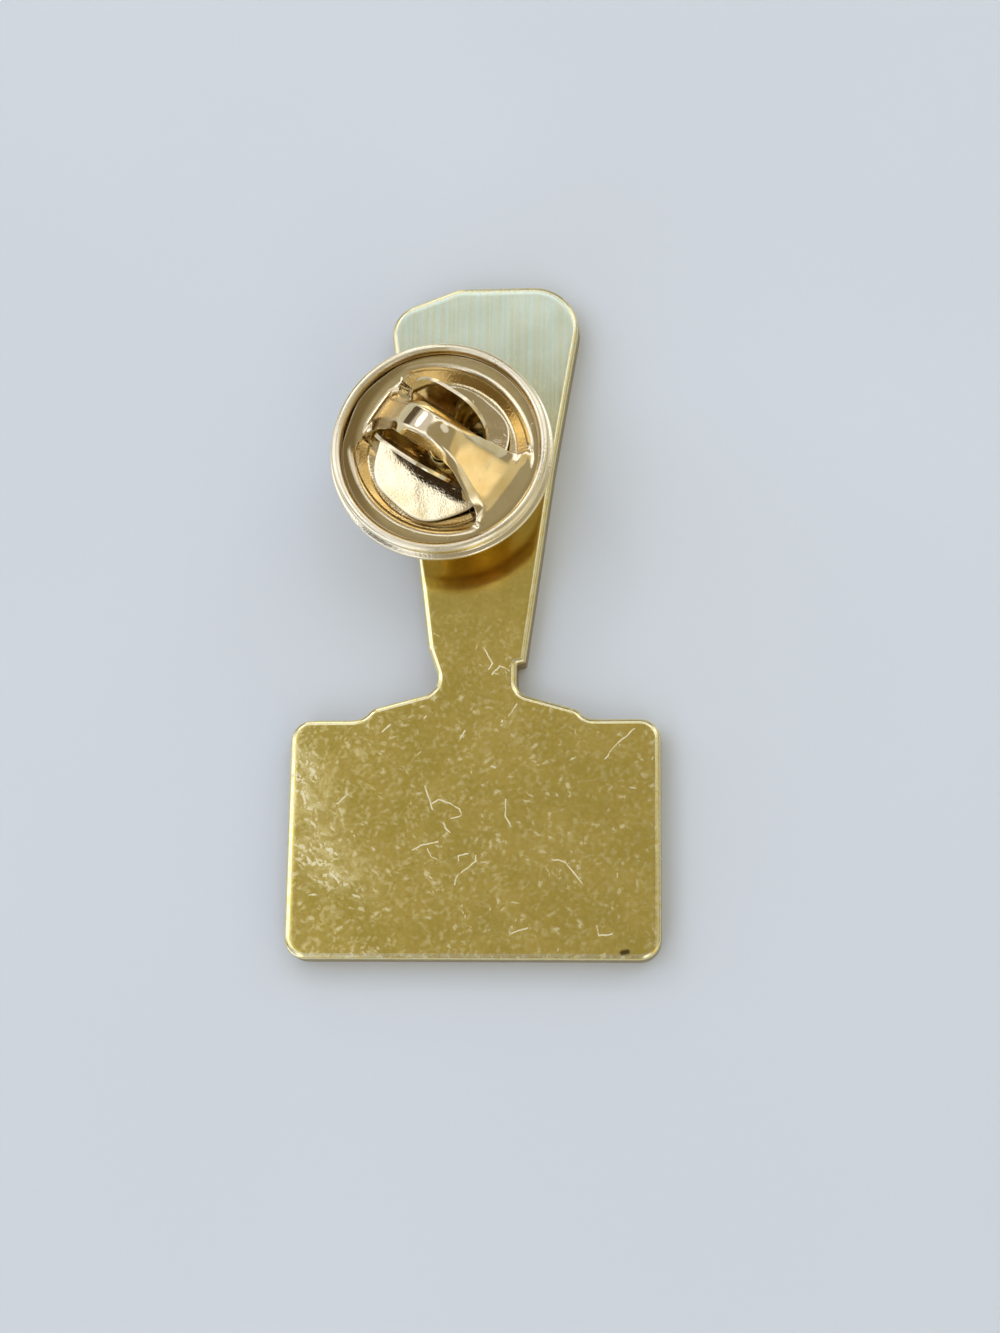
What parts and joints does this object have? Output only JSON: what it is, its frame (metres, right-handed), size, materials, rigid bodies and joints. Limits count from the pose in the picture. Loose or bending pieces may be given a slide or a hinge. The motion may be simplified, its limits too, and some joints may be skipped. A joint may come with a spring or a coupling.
{
  "type": "lapel pin with butterfly clutch",
  "caption": "Flat gold-plated lapel pin with a wide body, a narrow neck and a flared handle, lying face down with its butterfly clutch on the soldered post.",
  "frame": {"origin": "middle of the plate's outline, on the front face that it lies on", "axes": "+Y from the body to the head of the handle, +X to the right seen from the back, +Z out of the back along the post"},
  "size_m": [0.019, 0.0364, 0.0089],
  "materials": {
    "plate_gold": "thin gold plating with fine brushed lines, speckles and scratches",
    "clutch_gold": "bright polished gold plating",
    "wing_gold": "bright polished gold plating, with bare cut edges"
  },
  "bodies": {
    "badge": {"plate": "plate_gold"},
    "clutch": {"clutch_base": "clutch_gold", "clutch_cap": "clutch_gold"},
    "left_wing_lever": {"left_wing": "wing_gold"},
    "right_wing_lever": {"right_wing": "wing_gold"}
  },
  "joints": [
    {"name": "clutch_pull", "type": "slide", "parent": "badge", "child": "clutch", "axis": [0, 0, 1], "range_m": [0, 0.006]},
    {"name": "left_wing_pinch", "type": "hinge", "parent": "clutch", "child": "left_wing_lever", "pos_m": [-0.00221, 0.00684, 0.00505], "axis": [-0.829, 0.5592, 0], "range_deg": [0, 7], "stiffness_Nm_per_rad": 0.01},
    {"name": "right_wing_pinch", "type": "hinge", "parent": "clutch", "child": "right_wing_lever", "pos_m": [-0.00098, 0.00866, 0.00505], "axis": [0.829, -0.5592, 0], "range_deg": [0, 7], "stiffness_Nm_per_rad": 0.01}
  ]
}
